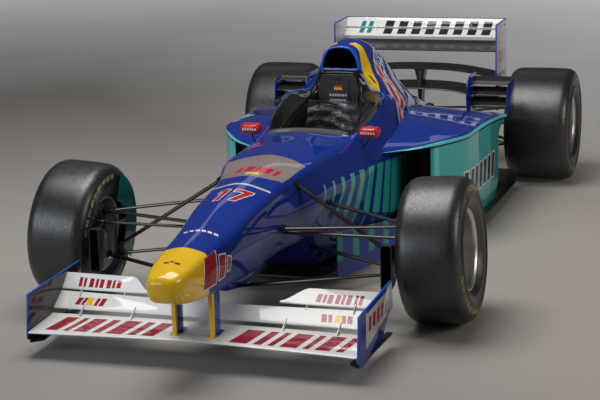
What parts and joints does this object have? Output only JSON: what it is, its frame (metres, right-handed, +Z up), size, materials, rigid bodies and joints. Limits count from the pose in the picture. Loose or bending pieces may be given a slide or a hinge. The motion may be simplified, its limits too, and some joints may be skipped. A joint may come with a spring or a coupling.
{
  "type": "open wheel racing car",
  "caption": "Single seat open wheel racing car with slick tyres, raised nose, front and rear wings, side pods, open cockpit and steered, freely rolling wheels.",
  "frame": {"origin": "on the floor under the middle of the bounding box", "axes": "-Y towards the nose, +X the car's left, +Z up"},
  "size_m": [1.9988, 4.435, 1.0011],
  "materials": {
    "blue_paint": "deep gloss",
    "white_paint": "gloss",
    "teal_paint": "gloss",
    "red_paint": "gloss",
    "carbon": "lacquered carbon weave",
    "grip": "suede grip",
    "rubber": "worn slick rubber",
    "silver_metal": "satin",
    "dark_steel": "dark satin",
    "cast_metal": "cast"
  },
  "bodies": {
    "root": {"monocoque": "blue_paint", "nose_cone": "blue_paint", "cockpit_surround": "carbon", "seat": "carbon", "engine_cover": "blue_paint", "engine_block": "cast_metal", "gearbox": "cast_metal", "crash_structure": "carbon", "rain_light": "red_paint", "floor": "carbon", "diffuser": "carbon", "skid_plank": "carbon", "front_wing_main": "white_paint", "front_wing_second": "white_paint", "rear_wing_main": "carbon", "rear_wing_flaps": "white_paint", "rear_beam_wing": "carbon", "front_flap_left": "white_paint", "front_flap_right": "white_paint", "front_endplate_left": "blue_paint", "front_endplate_right": "blue_paint", "front_upper_wishbone_left": "dark_steel", "front_upper_wishbone_right": "dark_steel", "front_lower_wishbone_left": "dark_steel", "front_lower_wishbone_right": "dark_steel", "rear_upper_wishbone_left": "dark_steel", "rear_upper_wishbone_right": "dark_steel", "rear_lower_wishbone_left": "dark_steel", "rear_lower_wishbone_right": "dark_steel", "rear_knuckle_left": "cast_metal", "rear_knuckle_right": "cast_metal", "sidepod_left": "teal_paint", "sidepod_right": "teal_paint", "radiator_left": "cast_metal", "radiator_right": "cast_metal", "rear_endplate_left": "blue_paint", "rear_endplate_right": "blue_paint", "rear_winglet_left": "carbon", "rear_winglet_right": "carbon", "mirror_left": "red_paint", "mirror_right": "red_paint", "bargeboard_left": "blue_paint", "bargeboard_right": "blue_paint"},
    "front_knuckle_left": {"front_knuckle_left": "cast_metal"},
    "front_knuckle_right": {"front_knuckle_right": "cast_metal"},
    "steering_rack": {"steering_rack": "dark_steel"},
    "steering_wheel": {"steering_wheel": "grip"},
    "front_wheel_left": {"front_tyre_left": "rubber", "front_rim_left": "silver_metal"},
    "front_wheel_right": {"front_tyre_right": "rubber", "front_rim_right": "silver_metal"},
    "rear_wheel_left": {"rear_tyre_left": "rubber", "rear_rim_left": "silver_metal"},
    "rear_wheel_right": {"rear_tyre_right": "rubber", "rear_rim_right": "silver_metal"}
  },
  "joints": [
    {"name": "steer_left", "type": "hinge", "parent": "root", "child": "front_knuckle_left", "pos_m": [0.715, -1.1225, 0.31969], "axis": [0, 0, 1], "range_deg": [-14, 14]},
    {"name": "steer_right", "type": "hinge", "parent": "root", "child": "front_knuckle_right", "pos_m": [-0.715, -1.1225, 0.31969], "axis": [0, 0, 1], "range_deg": [-14, 14]},
    {"name": "rack_slide", "type": "slide", "parent": "root", "child": "steering_rack", "axis": [1, 0, 0], "range_m": [-0.0233, 0.0233]},
    {"name": "steering_wheel_turn", "type": "hinge", "parent": "root", "child": "steering_wheel", "pos_m": [0, -0.2075, 0.548], "axis": [0, 0.9511, 0.309], "range_deg": [-140.5, 140.5]},
    {"name": "front_wheel_left_spin", "type": "hinge", "parent": "front_knuckle_left", "child": "front_wheel_left", "pos_m": [0.841, -1.1225, 0.31969], "axis": [0.9976, 0, 0.0698], "continuous": true},
    {"name": "front_wheel_right_spin", "type": "hinge", "parent": "front_knuckle_right", "child": "front_wheel_right", "pos_m": [-0.841, -1.1225, 0.31969], "axis": [0.9976, 0, -0.0698], "continuous": true},
    {"name": "rear_wheel_left_spin", "type": "hinge", "parent": "root", "child": "rear_wheel_left", "pos_m": [0.795, 1.7775, 0.32793], "axis": [1, 0, 0], "continuous": true},
    {"name": "rear_wheel_right_spin", "type": "hinge", "parent": "root", "child": "rear_wheel_right", "pos_m": [-0.795, 1.7775, 0.32793], "axis": [1, 0, 0], "continuous": true}
  ],
  "couplings": [
    {"joint": "steer_right", "follows": "steer_left", "ratio": 1},
    {"joint": "rack_slide", "follows": "steer_left", "m_per_rad": 0.095},
    {"joint": "steering_wheel_turn", "follows": "steer_left", "ratio": 10}
  ]
}
